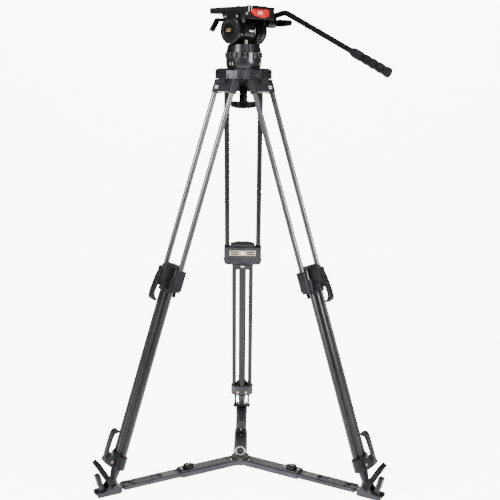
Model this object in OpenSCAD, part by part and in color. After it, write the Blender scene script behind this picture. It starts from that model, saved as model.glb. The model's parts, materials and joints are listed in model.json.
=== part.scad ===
// Twin-tube tripod with a fluid head, a pan bar and a telescopic ground spreader.
// Millimetres, +Z up, origin on the floor under the middle of the spreader.
// The rear leg points along +Y, and the two front legs lie 120 degrees either side of it.

/* [Legs] */
// Height of the leg tubes' line where it passes under the crown
leg_top_z = 1156; // [1140:1:1170]
// Distance of that point from the tripod's axis
leg_top_r = 53.5; // [52:0.5:56]
// Angle of a leg from the vertical
leg_tilt = 17.9; // [17:0.1:18.5]
// Outer diameter of an upper leg tube
upper_tube_d = 15.5; // [14:0.5:16]
// Distance between the middles of the two upper tubes
upper_spacing = 98; // [94:1:102]
// Outer diameter of a middle-stage tube
mid_tube_d = 14; // [12:0.5:15]
// Distance between the middles of the two middle-stage tubes
mid_spacing = 54; // [53:1:56]
// Outer diameter of the single lower tube
lower_tube_d = 23; // [20:0.5:24]
// Wall of every leg tube
tube_wall = 1.5; // [1:0.25:2.5]

/* [Head] */
// Turn of the head about the pan axis, from lens forward along +Y
head_yaw = 46; // [0:1:90]
// Diameter of the half ball and of the bowl that holds it
ball_d = 100; // [98:0.5:100]
// Height of the tilt axis
tilt_z = 1288; // [1286:1:1292]
// Outer diameter of the ridged rings and side covers
side_d = 74; // [70:1:74]
// Length of the sliding camera plate
plate_length = 150; // [130:1:154]
// Width of the sliding camera plate
plate_width = 60; // [56:1:62]

/* [Pan bar] */
// Outer diameter of the pan bar
bar_d = 15.5; // [14:0.5:17]
// Rise of the pan bar between its clamp and its bend
bar_rise = 12; // [8:1:16]
// Fall of the pan bar after its bend
bar_fall = 24.4; // [18:0.2:30]
// Outer diameter of the rubber grip
grip_d = 27; // [24:1:30]
// Length of the rubber grip
grip_length = 136; // [110:1:150]

/* [Spreader] */
// Width of a spreader inner arm
arm_width = 42; // [40:1:44]
// Radius at which the inner arm ends
inner_arm_end = 206; // [200:1:212]
// Diameter of the upright lifting ring
ring_d = 31; // [26:1:34]

/* [Hidden] */
$fn = 64;

// Gap between two faces that slide or turn on each other
slide_gap = 0.3;
// Gap of a shaft in its hole, and of a tube in its glued socket
run_gap = 0.08;

// Directions of legs 1, 2 and 3 about +Z, with 0 along +X
LEG_TURN = [210, 330, 90];

// Distances down a leg from the top of its tube line
upper_clamp_top = 547;
upper_clamp_bottom = 609;
lower_clamp_top = 1097;
lower_clamp_bottom = 1133;
foot_bolt_s = 1187;
shoulder_bottom = 38;

// The leg hinge, in the plane of the leg
hinge_r = 62;
hinge_z = 1163.5;
knuckle_r = 8;
hinge_bolt_r = 5;
knuckle_half = 20;
ear_half = 33;

// Middle of the half ball
ball_z = 1203;
ball_r = ball_d / 2;
crown_top = 1183;
crown_bottom = 1157;
crown_r = 53;
bowl_gap = 0.1;
rod_hole_r = 22;
cup_r = 19;
rim_in = 35.8;
bracket_top = 1186.5;
bracket_out = 73;

// Heights of the parts stacked on the pan axis
ring_bottom = 1214.4;
ring_top = 1229.4;
base_top = 1251;
spindle_r = 15;

// Places along the tilt axis
housing_r = 28.5;
housing_left = -29.5;
housing_right = 21.5;
dial_left = -46.6;
drag_right = 40;
cheek_in_left = -47;
cheek_in_right = 41;
cheek_out = 57;
cover_out = 60;
shaft_r = 7;

// Platform that carries the camera plate
deck_half = 48;
deck_rear = -70;
deck_front = 88;
body_front = 37;
body_bottom = tilt_z + 30;
wing_bottom = tilt_z + 46.5;
plate_pivot_x = 14;
deck_top = tilt_z + 63;
channel_floor = deck_top - 8;
// Camera screws: place along the plate, and radius of the thread
CAMERA_SCREWS = [[-18, 4.76], [22, 3.175]];
// Step between a camera screw's thread and its shank
shank_step = 1;

// Pan bar clamp: the axis that it turns on, and the plane of the bar
rosette_y = -38;
rosette_z = tilt_z + 23;
clamp_in = 60.3;
bar_x = 71.3;
bar_start_y = -30;
bar_start_z = tilt_z + 38;
bend_r = 40;
bar_first = 48;
bar_second = 379;

// Spreader
foot_r = leg_top_r + foot_bolt_s * sin(leg_tilt);
foot_z = leg_top_z - foot_bolt_s * cos(leg_tilt);
knob_r = 177;
arm_low = 5;
arm_high = 23;
cavity_half = 18.3;
outer_half = 18;
outer_low = 7.5;
outer_high = 20.5;
outer_start = 150;
outer_end = foot_r - 62;
finger_end = foot_r - 32;
shoe_inner = foot_r - 25;
shoe_outer = foot_r + 48;
shoe_half = 19;
pad_thick = 3;

// ---------- helpers ----------

// Box from one corner to the opposite one
module block(low, high) {
    translate(low) cube(high - low);
}

// Cylinder along X, from x0 to x1
module bar_x_way(r, x0, x1) {
    translate([x0, 0, 0]) rotate([0, 90, 0]) cylinder(r = r, h = x1 - x0);
}

// Cylinder along Y, from y0 to y1
module bar_y_way(r, y0, y1) {
    translate([0, y0, 0]) rotate([-90, 0, 0]) cylinder(r = r, h = y1 - y0);
}

// Outline in X and Z pushed out along Y, from y0 to y1
module slab_y(y0, y1) {
    translate([0, y1, 0]) rotate([90, 0, 0]) linear_extrude(y1 - y0) children();
}

// Outline in Y and Z pushed out along X, from x0 to x1
module slab_x(x0, x1) {
    translate([x0, 0, 0]) rotate([90, 0, 90]) linear_extrude(x1 - x0) children();
}

// Points of an arc about a middle
function arc(mid, r, from, to, steps) = [
    for (i = [0 : steps])
        let (a = from + (to - from) * i / steps)
        mid + r * [cos(a), sin(a)]
];

// Outline of a ring of square lugs, each taking lug_part of its pitch
function lug_outline(r_low, r_high, count, lug_part) = [
    for (i = [0 : count - 1])
        let (pitch = 360 / count, a = i * pitch, half = pitch * lug_part / 2)
        each [
            r_low * [cos(a - half - 1), sin(a - half - 1)],
            r_high * [cos(a - half), sin(a - half)],
            r_high * [cos(a), sin(a)],
            r_high * [cos(a + half), sin(a + half)],
            r_low * [cos(a + half + 1), sin(a + half + 1)],
            r_low * [cos(a + pitch / 2), sin(a + pitch / 2)]
        ]
];

// Radial plane of a leg: X outward from the tripod's axis, Z up
module radial(k) {
    rotate([0, 0, LEG_TURN[k - 1]]) children();
}

// Frame of a leg's tube line: X outward across the leg, -Z down along the leg
module on_leg(k) {
    radial(k) translate([leg_top_r, 0, leg_top_z]) rotate([0, -leg_tilt, 0]) children();
}

// Head frame: +Y towards the lens, +X to the operator's right
module on_head() {
    rotate([0, 0, head_yaw]) children();
}

// Tilt axis frame: X along the axis
module on_tilt() {
    on_head() translate([0, 0, tilt_z]) children();
}

// ---------- crown and levelling ----------

// One bracket of the crown: a hood with a domed top, closed outside the leg's knuckle
module crown_bracket() {
    dome_r = 93;
    difference() {
        intersection() {
            block([30, -ear_half, crown_bottom], [bracket_out, ear_half, bracket_top]);
            translate([0, 0, bracket_top - dome_r]) bar_x_way(dome_r, 20, 80);
        }
        block([50, -knuckle_half - slide_gap, crown_bottom - 1],
            [hinge_r + knuckle_r + 1, knuckle_half + slide_gap, hinge_z + knuckle_r + 0.5]);
        translate([hinge_r, 0, hinge_z]) bar_y_way(hinge_bolt_r + run_gap, -50, 50);
        // Long groove in the outer face
        block([bracket_out - 3, -ear_half + 6, hinge_z + knuckle_r + 1.5], [80, ear_half - 6, hinge_z + knuckle_r + 5]);
    }
}

// Bolt that a leg turns on, with a head at each end
module hinge_bolt() {
    translate([hinge_r, 0, hinge_z]) {
        bar_y_way(hinge_bolt_r, -ear_half - 0.1, ear_half + 0.1);
        bar_y_way(hinge_bolt_r + 1.8, ear_half + 0.1, ear_half + 3);
        bar_y_way(hinge_bolt_r + 1.8, -ear_half - 3, -ear_half - 0.1);
    }
}

module crown() {
    color("dimgray") {
        difference() {
            union() {
                translate([0, 0, crown_bottom]) cylinder(r = crown_r, h = crown_top - crown_bottom, $fn = 12);
                translate([0, 0, crown_bottom - 7]) cylinder(r = rim_in + 2.8, h = 10);
                intersection() {
                    translate([0, 0, ball_z]) sphere(r = ball_r + 2.5);
                    translate([0, 0, 1140]) cylinder(r = rim_in + 1, h = 25);
                }
                for (k = [1 : 3]) radial(k) crown_bracket();
            }
            translate([0, 0, ball_z]) sphere(r = ball_r + bowl_gap);
            // Recess that the tie-down cup swings in, with the bowl's shell left inside it
            difference() {
                translate([0, 0, 1140]) cylinder(r = rim_in, h = 24);
                translate([0, 0, ball_z]) sphere(r = ball_r + 2.5);
            }
            translate([0, 0, 1130]) cylinder(r = rod_hole_r, h = 60);
        }
        for (k = [1 : 3]) radial(k) hinge_bolt();
    }
}

module half_ball() {
    stud_r = 5;
    spigot_r = 40;
    color("dimgray") {
        intersection() {
            translate([0, 0, ball_z]) sphere(r = ball_r);
            translate([0, 0, ball_z - 44]) cylinder(r = ball_r + 1, h = 44);
        }
        translate([0, 0, ball_z]) cylinder(r = ball_r, h = ring_bottom - slide_gap - ball_z);
        translate([0, 0, ball_z]) cylinder(r = spigot_r, h = ring_top - 0.2 - ball_z);
        translate([0, 0, ball_z]) cylinder(r = spindle_r, h = base_top - 6.3 - ball_z);
        translate([0, 0, 1106]) cylinder(r = stud_r, h = 60);
    }
}

// Handle below the bowl: cup, shaft and lobed wheel turned as one piece
module tie_down_knob() {
    wheel_bottom = 1075;
    wheel_top = 1094;
    color("black") difference() {
        union() {
            translate([0, 0, 1139]) cylinder(r1 = 15, r2 = cup_r, h = 9);
            translate([0, 0, 1148]) cylinder(r = cup_r, h = 14);
            translate([0, 0, wheel_top - 1]) cylinder(r = 11.5, h = 50);
            translate([0, 0, wheel_bottom + 3]) linear_extrude(wheel_top - wheel_bottom - 3)
                polygon(lug_outline(31, 35, 7, 0.72));
            translate([0, 0, wheel_bottom]) cylinder(r1 = 20, r2 = 30, h = 3.1);
        }
        translate([0, 0, ball_z]) sphere(r = ball_r + 3);
        translate([0, 0, 1103]) cylinder(r = 5 + run_gap, h = 60);
    }
}

// ---------- pan stage ----------

module pan_drag_ring() {
    color("black") difference() {
        translate([0, 0, ring_bottom]) linear_extrude(ring_top - ring_bottom - 0.4)
            polygon(lug_outline(50, 53, 21, 0.6));
        translate([0, 0, ring_bottom - 1]) cylinder(r = 40 + slide_gap, h = 20);
    }
}

// Turning base with its neck, drum saddle and level boss
module pan_base() {
    boss = [-25.7, -33.9];
    color("dimgray") on_head() difference() {
        union() {
            translate([0, 0, ring_top]) cylinder(r1 = 49, r2 = 45, h = base_top - ring_top);
            translate([0, 0, base_top]) cylinder(r1 = 40, r2 = 24, h = 14);
            block([-24, -20, base_top], [18, 20, tilt_z]);
            translate([boss.x, boss.y, ring_top + 1]) cylinder(r = 7, h = base_top - ring_top - 0.5);
        }
        translate([0, 0, tilt_z]) bar_x_way(housing_r + 0.02, -30, 30);
        for (side = [-1, 1]) translate([0, 0, tilt_z])
            bar_x_way(side_d / 2 + 1.5, side < 0 ? -70 : housing_right, side < 0 ? housing_left : 70);
        translate([0, 0, ring_top - 1]) cylinder(r = spindle_r + run_gap, h = base_top - 5 - ring_top);
        translate([boss.x, boss.y, base_top + 0.5]) cylinder(r = 5 + slide_gap, h = 20);
        rotate([0, 0, 60]) translate([48, 0, ring_top + 9]) bar_x_way(2.5 + run_gap, -14, 4);
        for (turn = [-13, 13]) rotate([0, 0, atan2(boss.y, boss.x) + turn])
            translate([49, 0, ring_top + 14]) rotate([0, 0, 45]) cube([4, 4, 20], center = true);
    }
}

module bubble_level() {
    color("silver") on_head() translate([-25.7, -33.9, base_top + 0.6]) difference() {
        cylinder(r = 5, h = 11);
        translate([0, 0, 8.5]) cylinder(r = 3.6, h = 4);
    }
}

module pan_lock_lever() {
    color("black") on_head() rotate([0, 0, 60]) translate([48, 0, ring_top + 9]) {
        bar_x_way(5, 1.6, 9);
        bar_x_way(2.5, -13, 2);
        slab_x(4, 9) polygon(concat(arc([0, 0], 5, 90, 270, 8), [[26, -7], [30, -6], [30, -1], [26, 2]]));
    }
}

// ---------- tilt stage ----------

module tilt_housing() {
    color("dimgray") on_tilt() difference() {
        bar_x_way(housing_r, housing_left, housing_right);
        bar_x_way(housing_r - 4, housing_left + 5, housing_right - 5);
        bar_x_way(shaft_r + run_gap, -50, 50);
    }
}

// Shaft with its drag discs and the two counterbalance drums, held inside the housing
module tilt_shaft() {
    disc_r = housing_r - 5;
    color("silver") on_tilt() {
        bar_x_way(shaft_r, cheek_in_left, cheek_in_right);
        for (x = [-22, -15, 5, 12]) difference() {
            bar_x_way(disc_r, x, x + 4);
            bar_x_way(shaft_r + 0.02, x - 1, x + 5);
        }
    }
}

// Ring of ridges that turns on the tilt axis between the housing and a cheek
module ridged_ring(x0, x1, count) {
    difference() {
        slab_x(x0, x1) polygon(lug_outline(side_d / 2 - 4, side_d / 2 - 1.5, count, 0.55));
        bar_x_way(shaft_r + slide_gap, x0 - 1, x1 + 1);
    }
}

module counterbalance_dial() {
    color("black") on_tilt() ridged_ring(dial_left, housing_left - slide_gap, 24);
}

module tilt_drag_ring() {
    color("black") on_tilt() ridged_ring(housing_right + slide_gap, drag_right, 24);
}

// Side view of a cheek: a disc about the tilt axis with a trunk up to the platform
function cheek_outline() = concat(
    arc([0, 0], side_d / 2 - 2, 140, 400, 40),
    [[30, body_bottom - tilt_z - 4], [32, deck_top - tilt_z - 16]],
    [[-31, deck_top - tilt_z - 16], [-29, 21]]
);

// Side view of the platform: deep behind, thin in front, with a curved step between
function deck_outline() = concat(
    [[deck_rear, deck_top], [deck_rear, body_bottom + 1], [deck_rear + 1, body_bottom]],
    [[body_front - 6, body_bottom]],
    arc([body_front + 8, wing_bottom - 8], 8, 180, 90, 6),
    [[deck_front - 3, wing_bottom], [deck_front, wing_bottom + 3], [deck_front, deck_top]]
);

module tilt_frame() {
    color("dimgray") on_head() {
        difference() {
            union() {
                slab_x(-deck_half, deck_half) polygon(deck_outline());
                translate([0, 0, tilt_z]) {
                    slab_x(-cheek_out + 5, cheek_in_left) polygon(cheek_outline());
                    slab_x(cheek_in_right, cheek_out - 5) polygon(cheek_outline());
                }
                // Boss of the pan bar's rosette, and its link to the right cheek
                translate([0, rosette_y, rosette_z]) bar_x_way(13, deck_half, clamp_in - slide_gap);
                block([cheek_in_right, rosette_y, rosette_z - 9], [cheek_out - 5, -20, rosette_z + 9]);
                // Upright boss behind the left cheek
                translate([-46, -42, tilt_z + 19]) cylinder(r = 6, h = 20);
            }
            // Channel of the camera plate, open at both ends
            block([-plate_width / 2 - slide_gap, deck_rear - 1, channel_floor],
                [plate_width / 2 + slide_gap, deck_front + 1, deck_top + 1]);
            // Room for the ridged rings and the housing
            translate([0, 0, tilt_z]) bar_x_way(side_d / 2 - 0.8, cheek_in_left + 0.05, cheek_in_right - 0.05);
            translate([-deck_half, -60, body_bottom + 13]) bar_x_way(4 + slide_gap, -1, 11);
            translate([0, rosette_y, rosette_z]) bar_x_way(4 + run_gap, clamp_in - 6.5, clamp_in);
            // Room for the right cover's rim
            translate([0, 0, tilt_z]) bar_x_way(side_d / 2 + slide_gap, cheek_out - 5, clamp_in);
        }
        // Lug and pin that the plate's lock lever turns on
        block([plate_pivot_x - 5, deck_rear - 10, body_bottom + 2], [plate_pivot_x + 5, deck_rear + 1, body_bottom + 5.7]);
        translate([plate_pivot_x, deck_rear - 5, body_bottom + 3]) cylinder(r = 2.5, h = 21);
        // Ledges that hold the plate's edges down
        for (side = [-1, 1]) translate([side * (plate_width / 2 - 1), 0, deck_top - 1.2])
            block([-2.2, deck_rear + 2, 0], [2.2, deck_front - 2, 1.2]);
    }
}

// Domed covers that close the two sides
module side_covers() {
    color("black") on_tilt() for (side = [-1, 1]) mirror([side < 0 ? 1 : 0, 0, 0])
        translate([cheek_out - 5, 0, 0]) rotate([0, 90, 0]) rotate_extrude()
            polygon([[0, 0], [side_d / 2, 0], [side_d / 2, 3], [side_d / 2 - 3, 6.5], [25, 8], [24, 7], [0, 7]]);
}

module tilt_lock_lever() {
    color("black") on_tilt() translate([-50, 0, 29]) {
        bar_y_way(5, 34.5, 52);
        translate([0, 50, 0]) bar_y_way(6, 0, 11);
        translate([0, 55.5, 0]) rotate([0, 35, 0]) block([-5.8, -5.5, -36], [5.8, 5.5, 0]);
    }
}

// ---------- camera plate ----------

module camera_plate() {
    plate_mid = (deck_rear + deck_front) / 2;
    y0 = plate_mid - plate_length / 2;
    y1 = plate_mid + plate_length / 2;
    color("black") on_head() difference() {
        union() {
            block([-plate_width / 2, y0, channel_floor + slide_gap], [plate_width / 2, y1, deck_top - 1.5]);
            block([-plate_width / 2 + 4, y0, deck_top - 2], [plate_width / 2 - 4, y1, deck_top + 2]);
        }
        for (screw = CAMERA_SCREWS) {
            slot = screw[1] + shank_step + slide_gap;
            block([-slot, screw[0] - 16, channel_floor - 1], [slot, screw[0] + 16, deck_top + 3]);
            block([-9, screw[0] - 18, channel_floor - 1], [9, screw[0] + 18, deck_top - 2]);
        }
    }
}

// Two camera screws, held in the plate's slots with their threads above it
module camera_screws() {
    head_low = channel_floor + 0.5;
    color("silver") on_head() for (screw = CAMERA_SCREWS) translate([0, screw[0], 0]) {
        translate([0, 0, head_low]) cylinder(r = 8, h = deck_top - 2.1 - head_low);
        translate([0, 0, head_low + 1]) cylinder(r = screw[1] + shank_step, h = deck_top + 1 - head_low);
        translate([0, 0, deck_top + 1]) cylinder(r = screw[1], h = 6.5);
    }
}

// Lever across the rear of the platform, which turns about an upright pin near its right end
module plate_lock_lever() {
    back = deck_rear - 0.5;
    low = body_bottom + 6;
    color("red") on_head() difference() {
        union() {
            slab_y(back - 9, back) polygon([
                [-47, low + 12], [-38, low + 19], [plate_pivot_x, low + 19], [plate_pivot_x, low],
                [3, low], [2, low - 3], [-14, low - 3], [-15, low], [-33, low]
            ]);
            translate([plate_pivot_x, back - 4.5, low]) cylinder(r = 4.5, h = 19);
            slab_y(back - 13, back - 8) polygon([
                [-36, low + 10], [-26, low + 16], [-2, low + 16], [-2, low + 3], [-26, low + 3]
            ]);
        }
        translate([plate_pivot_x, back - 4.5, low - 5]) cylinder(r = 2.5 + run_gap, h = 40);
    }
}

module plate_release_button() {
    color("silver") on_head() translate([-deck_half - 3, -60, body_bottom + 13]) bar_x_way(4, 0, 9);
}

// ---------- pan bar ----------

module pan_bar_clamp() {
    color("dimgray") on_head() difference() {
        union() {
            translate([0, rosette_y, rosette_z]) bar_x_way(14, clamp_in, clamp_in + 20);
            translate([0, rosette_y, bar_start_z]) bar_x_way(11.5, clamp_in, clamp_in + 20);
            block([clamp_in, rosette_y - 11.5, rosette_z], [clamp_in + 20, rosette_y + 11.5, bar_start_z]);
        }
        place_bar() bar_y_way(bar_d / 2 + 0.02, -60, 60);
        translate([0, rosette_y, rosette_z]) bar_x_way(4 + run_gap, clamp_in - 1, clamp_in + 30);
    }
}

// Puts its children at the start of the pan bar, with the bar running along -Y
module place_bar() {
    translate([bar_x, bar_start_y, bar_start_z]) rotate([-bar_rise, 0, 0]) children();
}

// Screw and wing that lock the rosette
module pan_bar_wing() {
    color("black") on_head() translate([0, rosette_y, rosette_z]) {
        bar_x_way(4, clamp_in - 6, clamp_in + 21);
        bar_x_way(9, clamp_in + 20.3, clamp_in + 30);
        slab_x(clamp_in + 22, clamp_in + 30) polygon(
            concat([[-2, 9], [-20, 10]], arc([-53, 0], 8.5, 110, 250, 8), [[-20, -10], [-2, -9]])
        );
    }
}

// Straight stretch, bend and long straight stretch of the bar
module bar_solid(r, first_from, second_to) {
    bend = bar_rise + bar_fall;
    place_bar() {
        bar_y_way(r, -bar_first, -first_from);
        translate([0, -bar_first, -bend_r]) {
            rotate([0, 90, 0]) rotate([0, 0, 180]) rotate_extrude(angle = bend)
                translate([bend_r, 0]) circle(r = r);
            translate([0, -bend_r * sin(bend), bend_r * cos(bend)]) rotate([bend, 0, 0])
                bar_y_way(r, -second_to, 0);
        }
    }
}

// Frame at the far end of the bar, running back along it
module place_grip() {
    bend = bar_rise + bar_fall;
    place_bar() translate([0, -bar_first, -bend_r])
        translate([0, -bend_r * sin(bend), bend_r * cos(bend)]) rotate([bend, 0, 0])
            translate([0, -bar_second, 0]) children();
}

module pan_bar() {
    color("black") on_head() bar_solid(bar_d / 2, -6, bar_second - 6);
}

module pan_bar_grip() {
    color("dimgray") on_head() place_grip() difference() {
        bar_y_way(grip_d / 2, 0, grip_length);
        bar_y_way(bar_d / 2 + 0.02, 5, grip_length + 1);
    }
}

// ---------- legs ----------

module tube(r, wall, s0, s1) {
    translate([0, 0, -s1]) difference() {
        cylinder(r = r, h = s1 - s0);
        translate([0, 0, -1]) cylinder(r = r - wall, h = s1 - s0 + 2);
    }
}

// Knuckle that turns on the crown's bolt, and the casting that holds the upper tubes
module leg_shoulder(k) {
    half_top = upper_spacing / 2 - 4;
    half_low = upper_spacing / 2 + 3;
    knuckle_in = hinge_r - knuckle_r;
    knuckle_out = hinge_r + knuckle_r;
    color("dimgray") difference() {
        union() {
            on_leg(k) slab_x(-13, 8)
                polygon([[-half_top, 2], [half_top, 2], [half_low, -10], [half_low, -shoulder_bottom],
                    [-half_low, -shoulder_bottom], [-half_low, -10]]);
            on_leg(k) for (side = [-1, 1]) translate([0, side * upper_spacing / 2, -shoulder_bottom - 2])
                cylinder(r = upper_tube_d / 2 + 2.3, h = shoulder_bottom);
            radial(k) {
                translate([hinge_r, 0, hinge_z]) bar_y_way(knuckle_r, -knuckle_half, knuckle_half);
                slab_y(-knuckle_half, knuckle_half) polygon([
                    [knuckle_in, hinge_z], [knuckle_out, hinge_z], [knuckle_out, crown_bottom - 3],
                    [knuckle_out + 2, crown_bottom - 12], [knuckle_in, crown_bottom - 12]
                ]);
            }
        }
        radial(k) translate([hinge_r, 0, hinge_z]) bar_y_way(hinge_bolt_r + run_gap, -50, 50);
        on_leg(k) for (side = [-1, 1]) translate([0, side * upper_spacing / 2, -60])
            cylinder(r = upper_tube_d / 2 + 0.02, h = 44);
        on_leg(k) block([-20, -30, -shoulder_bottom - 1], [2, 30, -22]);
        // Room under the crown's ears, sloped so the leg can fold inwards
        for (side = [-1, 1])
            radial(k) slab_y(min(side * knuckle_half, side * 70), max(side * knuckle_half, side * 70)) polygon([
                [20, crown_bottom - 4.3], [hinge_r, crown_bottom - 0.7], [90, crown_bottom - 0.7], [90, 1200], [20, 1200]
            ]);
        radial(k) slab_y(-knuckle_half - 1, knuckle_half + 1) polygon([
            [20, crown_bottom - 4.3], [knuckle_in, crown_bottom - 1.4], [knuckle_in, 1200], [20, 1200]
        ]);
    }
}

module upper_tubes(k) {
    color("darkslategray") on_leg(k) for (side = [-1, 1]) translate([0, side * upper_spacing / 2, 0])
        tube(upper_tube_d / 2, tube_wall, 16.1, upper_clamp_bottom - 4);
}

// Casting that holds the upper tubes and guides the middle stage
module upper_clamp(k) {
    half = upper_spacing / 2 + 10;
    guide_top = upper_clamp_top + 26;
    color("dimgray") on_leg(k) difference() {
        union() {
            block([-14, -half, -upper_clamp_bottom + 6], [2, half, -upper_clamp_top]);
            block([-14, -half + 6, -upper_clamp_bottom], [2, half - 6, -upper_clamp_bottom + 7]);
            block([-14, -17, -upper_clamp_bottom], [14, 17, -upper_clamp_top]);
            block([-8, -31, -upper_clamp_bottom - 8], [12, 31, -upper_clamp_bottom + 1]);
            for (side = [-1, 1]) {
                translate([0, side * upper_spacing / 2, -upper_clamp_bottom])
                    cylinder(r = upper_tube_d / 2 + 2.6, h = upper_clamp_bottom - upper_clamp_top);
                translate([0, side * mid_spacing / 2, -upper_clamp_bottom])
                    cylinder(r = mid_tube_d / 2 + 3.5, h = upper_clamp_bottom - guide_top);
            }
            translate([0, 0, -upper_clamp_bottom - 9]) cylinder(r = lower_tube_d / 2 + 4, h = 12);
            // Ears of the lock lever, and the band it pulls on
            for (side = [-1, 1]) block([4, side * 14 - 3, -589], [36, side * 14 + 3, -549]);
            block([12, -17, -603], [25, 17, -578]);
        }
        for (side = [-1, 1]) {
            translate([0, side * upper_spacing / 2, -upper_clamp_bottom + 4])
                cylinder(r = upper_tube_d / 2 + 0.02, h = 80);
            translate([0, side * mid_spacing / 2, -700]) cylinder(r = mid_tube_d / 2 + slide_gap, h = 200);
        }
        translate([0, 0, -700]) cylinder(r = lower_tube_d / 2 + 0.6, h = 200);
        block([9, -20, -586], [26, 20, -583.5]);
        translate([30, 0, -556]) bar_y_way(2.5 + run_gap, -20, 20);
    }
}

// Lever with a cam round its pin, a long blade down the leg and a hooked end
module upper_lever(k) {
    cam = [30, -556];
    color("black") on_leg(k) {
        difference() {
            slab_y(-10.6, 10.6) polygon(concat(
                arc(cam, 8, 200, 20, 10),
                [[43, -580], [47, -618]],
                arc([35, -636], 12, 0, -120, 10),
                [[24, -644], [32, -640], [38, -632], [39, -620], [35, -588]]
            ));
            translate([cam.x, 0, cam.y]) bar_y_way(2.5 + run_gap, -12, 12);
        }
        translate([cam.x, 0, cam.y]) bar_y_way(2.5, -17, 17);
    }
}

// Two middle-stage tubes and the yoke that joins their upper ends
module mid_tubes(k) {
    half = 38.5;
    top = upper_clamp_top;
    color("darkslategray") on_leg(k) {
        for (side = [-1, 1]) translate([0, side * mid_spacing / 2, 0])
            tube(mid_tube_d / 2, tube_wall, upper_clamp_top - 5.9, lower_clamp_bottom - 6.1);
        difference() {
            union() {
                slab_x(-11, 11) polygon([
                    [-half, 0.5 - top], [half, 0.5 - top], [half, 4 - top], [25, 9 - top], [-25, 9 - top], [-half, 4 - top]
                ]);
                block([-8, -20, 8 - top], [8, 20, 11 - top]);
            }
            for (side = [-1, 1]) translate([0, side * mid_spacing / 2, -upper_clamp_top - 1])
                cylinder(r = mid_tube_d / 2 + 0.02, h = 7);
        }
    }
}

// Casting at the foot of the middle stage, with the lever block on its outer face
module lower_clamp(k) {
    half = mid_spacing / 2 + 6.5;
    color("dimgray") on_leg(k) difference() {
        union() {
            block([-13, -half + 6, -lower_clamp_bottom], [15, half - 6, -lower_clamp_top]);
            for (side = [-1, 1]) translate([0, side * mid_spacing / 2, -lower_clamp_bottom])
                cylinder(r = mid_tube_d / 2 + 3.5, h = lower_clamp_bottom - lower_clamp_top);
            slab_y(-14, 14) polygon([[10, -1099], [33, -1099], [46, -1112], [46, -1123], [26, -1133], [10, -1133]]);
        }
        translate([0, 0, -1200]) cylinder(r = lower_tube_d / 2 + slide_gap, h = 120);
        for (side = [-1, 1]) translate([0, side * mid_spacing / 2, -lower_clamp_bottom + 6])
            cylinder(r = mid_tube_d / 2 + 0.02, h = 60);
        block([27, -9, -1150], [60, 9, -1090]);
        translate([38, 0, -1118]) bar_y_way(2.5 + run_gap, -20, 20);
    }
}

// Lever that lies up along the leg, with its end turned in
module lower_lever(k) {
    cam = [38, -1118];
    color("black") on_leg(k) {
        difference() {
            slab_y(-8.6, 8.6) polygon(concat(
                arc(cam, 8, -190, 10, 10),
                [[47, -1088], [46, -1050]],
                arc([33, -1038], 12, 0, 125, 10),
                [[22, -1032], [30, -1036], [36, -1040], [38, -1052], [40, -1086], [33, -1106]]
            ));
            translate([cam.x, 0, cam.y]) bar_y_way(2.5 + run_gap, -10, 10);
        }
        translate([cam.x, 0, cam.y]) bar_y_way(2.5, -15, 15);
    }
}

// Lower tube with the foot casting glued in its end
module lower_leg(k) {
    foot_top = lower_clamp_bottom + 3;
    color("darkslategray") on_leg(k) {
        tube(lower_tube_d / 2, tube_wall, 574, foot_top - 0.5);
        difference() {
            union() {
                translate([0, 0, -foot_bolt_s + 14]) cylinder(r1 = 10, r2 = 15, h = foot_bolt_s - 14 - foot_top);
                block([-9, -11, -foot_bolt_s], [9, 11, -foot_bolt_s + 17]);
                translate([0, 0, -foot_bolt_s]) bar_y_way(9, -11, 11);
            }
            // The foot's hole is wide, so the foot can shift a little on its bolt as the legs fold
            translate([0, 0, -foot_bolt_s]) bar_y_way(5.3, -20, 20);
        }
        translate([0, 0, -foot_top]) cylinder(r = lower_tube_d / 2 - tube_wall - 0.05, h = 30);
    }
}

// ---------- spreader ----------

// Shoe: a padded block with two ears that take the foot bolt, and a tongue towards the arm
module shoe(k) {
    outer = shoe_outer;
    color("dimgray") radial(k) {
        difference() {
            union() {
                slab_y(-shoe_half, shoe_half) polygon([
                    [shoe_inner, pad_thick], [outer - 3, pad_thick], [outer, pad_thick + 2], [outer, 13],
                    [outer - 5, 15], [foot_r + 24, 16], [foot_r + 10, foot_z + 7], [foot_r + 5, foot_z + 10],
                    [foot_r - 5, foot_z + 10], [foot_r - 14, foot_z], [shoe_inner, 20]
                ]);
                // Leaning post behind the foot
                translate([foot_r + 29, 0, 10]) rotate([0, 14, 0]) block([-7, -9, 0], [7, 9, 56]);
            }
            // Slot for the foot
            block([foot_r - 40, -12, 14], [foot_r + 20, 12, 60]);
            // Pocket in the outer end
            block([outer - 11, -10, 7], [outer + 1, 10, 30]);
            translate([foot_r, 0, foot_z]) bar_y_way(4 + run_gap, -30, 30);
        }
        block([foot_r - 46, -9, 8.5], [shoe_inner + 3, 9, 19]);
        // Bolt through the ears and the foot
        translate([foot_r, 0, foot_z]) {
            bar_y_way(4, -26.5, 26.5);
            bar_y_way(7, 26.5, 29.5);
            bar_y_way(7, -29.5, -26.5);
        }
        // Rubber pad underneath
        block([shoe_inner + 3, -16, 0], [outer - 4, 16, pad_thick]);
    }
}

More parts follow.
